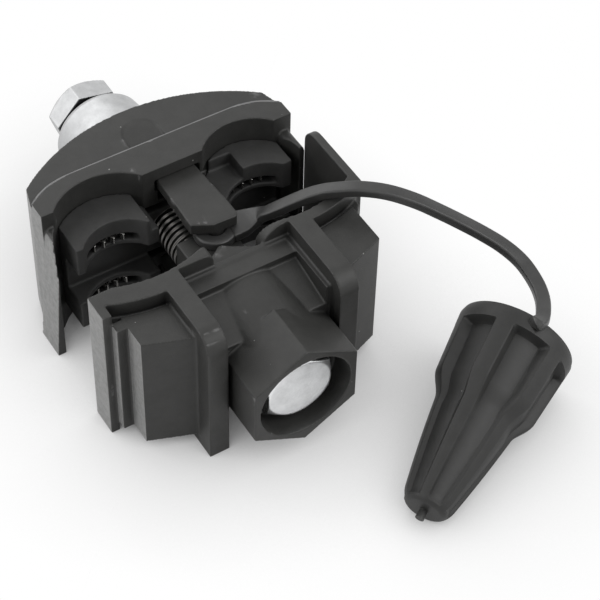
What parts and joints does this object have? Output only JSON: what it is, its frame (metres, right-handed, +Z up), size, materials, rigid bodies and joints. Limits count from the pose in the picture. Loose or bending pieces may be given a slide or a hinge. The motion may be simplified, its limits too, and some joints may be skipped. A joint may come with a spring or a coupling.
{
  "type": "insulation piercing connector",
  "caption": "Two moulded jaws with toothed contact plates, drawn onto a main and a tap cable by a bolt and shear nut, with a tethered rubber end cap.",
  "frame": {"origin": "on the supporting surface under the middle of the jaws, bolt and nut, without the strap and the cap", "axes": "+Z up along the cables, +Y along the bolt towards the shear nut, +X from the main groove towards the tap groove"},
  "size_m": [0.0781, 0.1127, 0.0356],
  "materials": {
    "jaw_plastic": "weatherproof glass-filled polyamide, satin charcoal",
    "seal_rubber": "matt black elastomer",
    "cap_rubber": "satin charcoal elastomer",
    "zinc_steel": "bright zinc plating",
    "contact_metal": "tin-plated contact plate"
  },
  "bodies": {
    "base": {"lower_jaw": "jaw_plastic", "bolt": "zinc_steel", "lower_main_seal": "seal_rubber", "lower_tap_seal": "seal_rubber", "lower_front_plate": "contact_metal", "lower_rear_plate": "contact_metal", "strap_eye": "cap_rubber", "cap_strap": "cap_rubber", "end_cap": "cap_rubber"},
    "jaw": {"upper_jaw": "jaw_plastic", "upper_main_seal": "seal_rubber", "upper_tap_seal": "seal_rubber", "upper_front_plate": "contact_metal", "upper_rear_plate": "contact_metal"},
    "nut": {"shear_nut": "zinc_steel"}
  },
  "joints": [
    {"name": "jaw_slide", "type": "slide", "parent": "base", "child": "jaw", "axis": [0, -1, 0], "range_m": [0, 0.011]},
    {"name": "nut_turn", "type": "hinge", "parent": "jaw", "child": "nut", "pos_m": [0, 0.0225, 0.016], "axis": [0, -1, 0], "range_deg": [0, 3170]}
  ],
  "couplings": [
    {"joint": "nut_turn", "follows": "jaw_slide", "rad_per_m": 5026.5}
  ]
}
